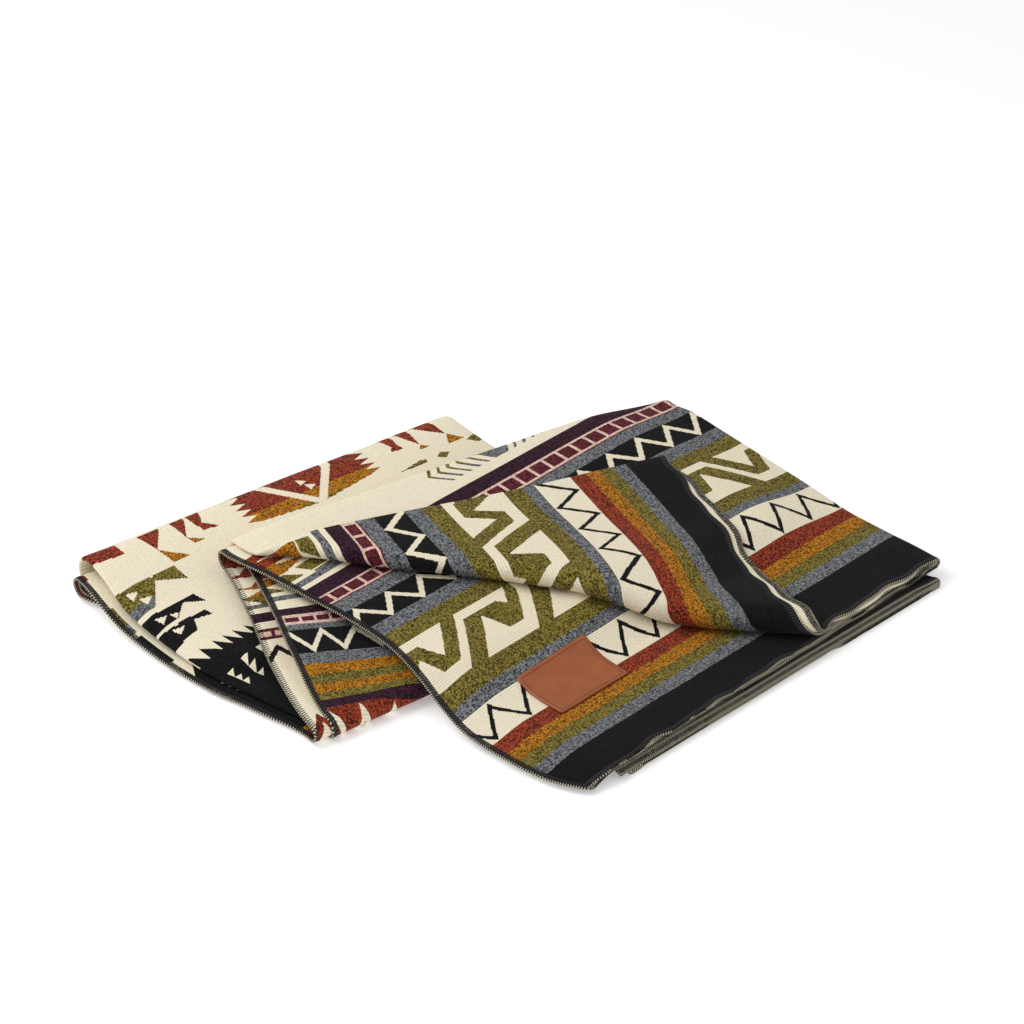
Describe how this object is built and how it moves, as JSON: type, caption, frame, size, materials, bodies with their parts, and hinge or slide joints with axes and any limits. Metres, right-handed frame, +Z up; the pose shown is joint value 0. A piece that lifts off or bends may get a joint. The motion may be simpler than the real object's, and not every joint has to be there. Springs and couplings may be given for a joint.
{
  "type": "folded blanket",
  "caption": "Woven wool blanket with overlocked edges, folded lengthwise and back and forth, one corner turned back, with a sewn leather patch.",
  "frame": {"origin": "middle of the bounding box at the surface it lies on", "axes": "+X along the woven stripes from the selvedges to the long fold, +Y along the folded strip from its front edge to the back, +Z up"},
  "size_m": [0.58, 0.5056, 0.0689],
  "materials": {
    "wool": "brushed woven wool",
    "leather": "smooth tan leather"
  },
  "bodies": {
    "root": {"blanket": "wool", "leather_patch": "leather"}
  },
  "joints": []
}
